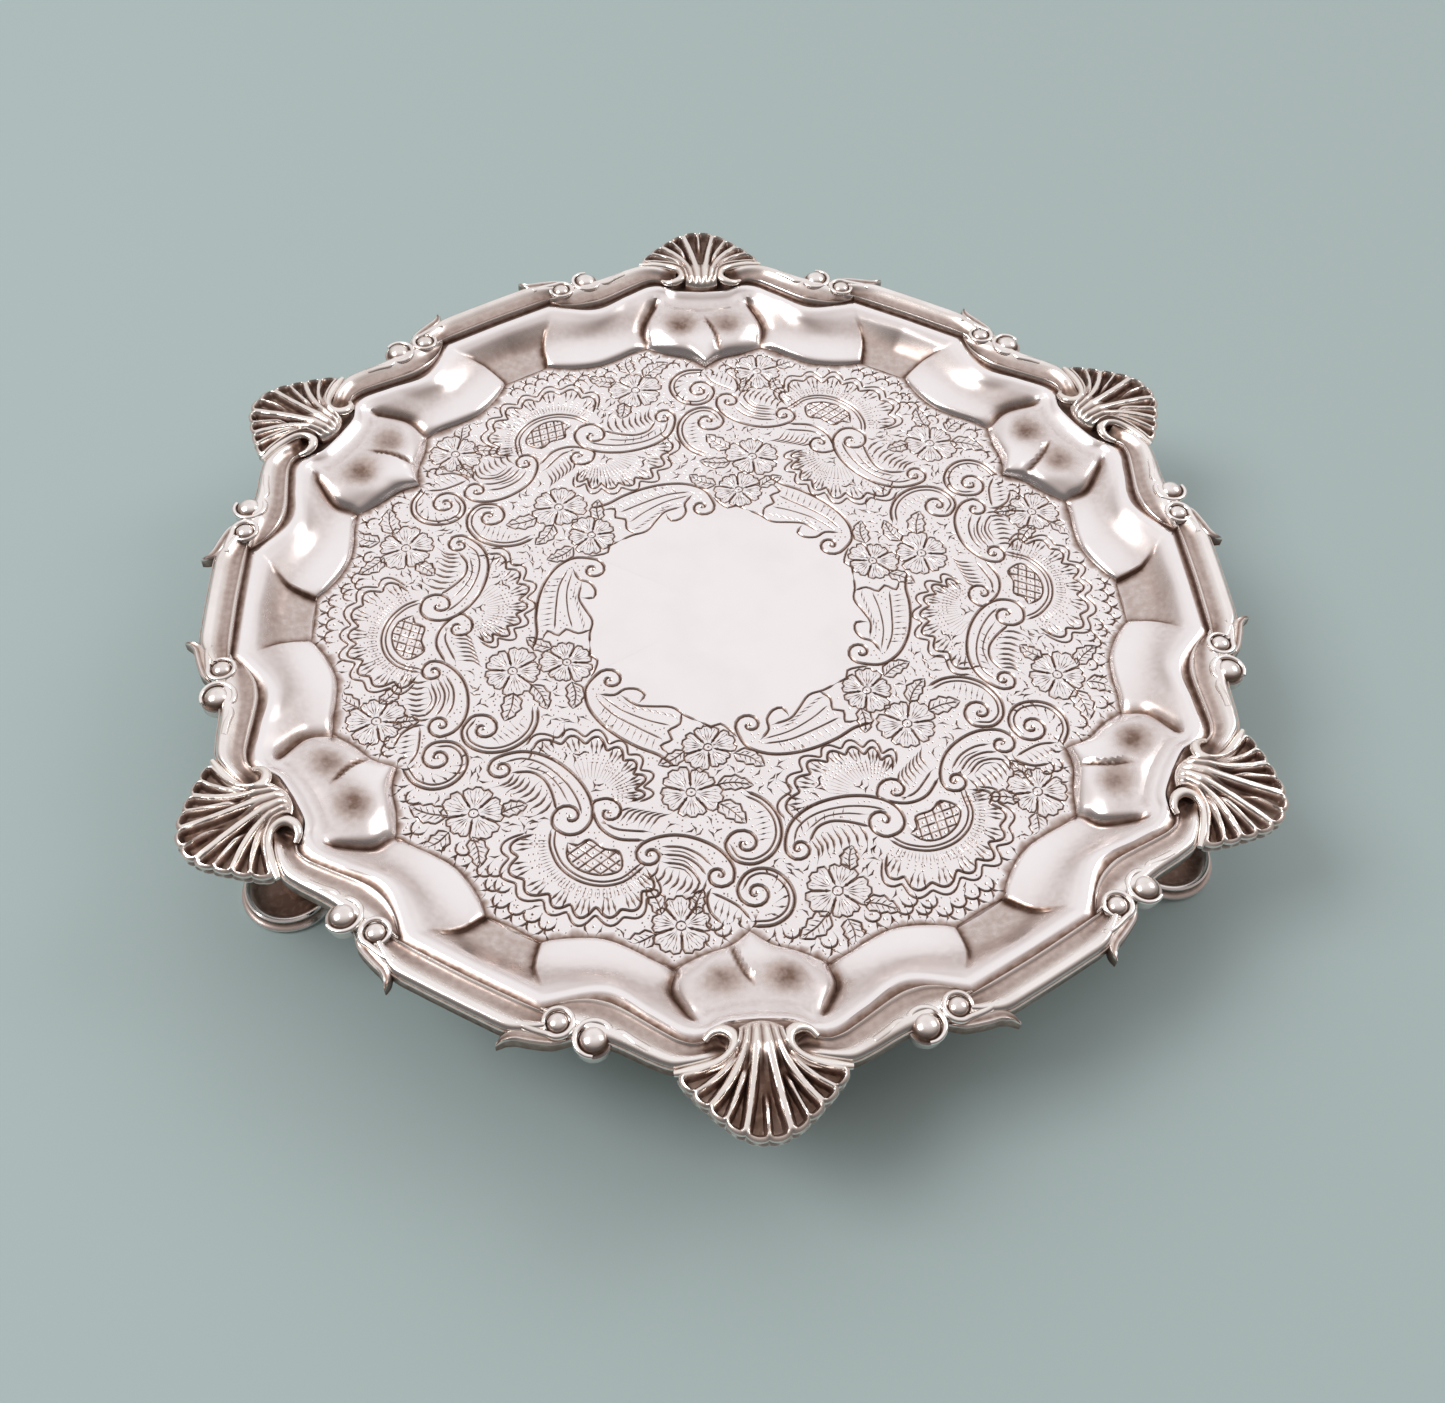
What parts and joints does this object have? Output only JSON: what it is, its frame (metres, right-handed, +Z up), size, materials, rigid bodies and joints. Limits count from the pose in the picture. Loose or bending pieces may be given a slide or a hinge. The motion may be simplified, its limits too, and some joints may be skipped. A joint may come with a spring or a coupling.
{
  "type": "silver salver",
  "caption": "Footed serving salver: flat chased field in a panelled dish, moulded border with cast scallop shells, standing on dished pad feet.",
  "frame": {"origin": "centre of the feet's standing plane, on the salver's own axis", "axes": "+Z up out of the dish; one shell points to -Y and one foot stands under the shell at +Y"},
  "size_m": [0.1862, 0.2052, 0.0278],
  "materials": {
    "tray_silver": "hand-polished sterling silver, chased field with dark oxide in the engraved lines",
    "shell_silver": "cast silver, polished ribs with dark oxide in the flutes",
    "moulding_silver": "cast silver moulding, polished on the high lines, brown oxide in the cove",
    "foot_silver": "cast silver, polished lips, darker dish"
  },
  "bodies": {
    "root": {"tray_plate": "tray_silver", "shell_1": "shell_silver", "mid_moulding_1": "moulding_silver", "side_moulding_1_right": "moulding_silver", "side_moulding_1_left": "moulding_silver", "shell_2": "shell_silver", "mid_moulding_2": "moulding_silver", "side_moulding_2_right": "moulding_silver", "side_moulding_2_left": "moulding_silver", "shell_3": "shell_silver", "mid_moulding_3": "moulding_silver", "side_moulding_3_right": "moulding_silver", "side_moulding_3_left": "moulding_silver", "shell_4": "shell_silver", "mid_moulding_4": "moulding_silver", "side_moulding_4_right": "moulding_silver", "side_moulding_4_left": "moulding_silver", "shell_5": "shell_silver", "mid_moulding_5": "moulding_silver", "side_moulding_5_right": "moulding_silver", "side_moulding_5_left": "moulding_silver", "shell_6": "shell_silver", "mid_moulding_6": "moulding_silver", "side_moulding_6_right": "moulding_silver", "side_moulding_6_left": "moulding_silver", "foot_1": "foot_silver", "foot_2": "foot_silver", "foot_3": "foot_silver"}
  },
  "joints": []
}
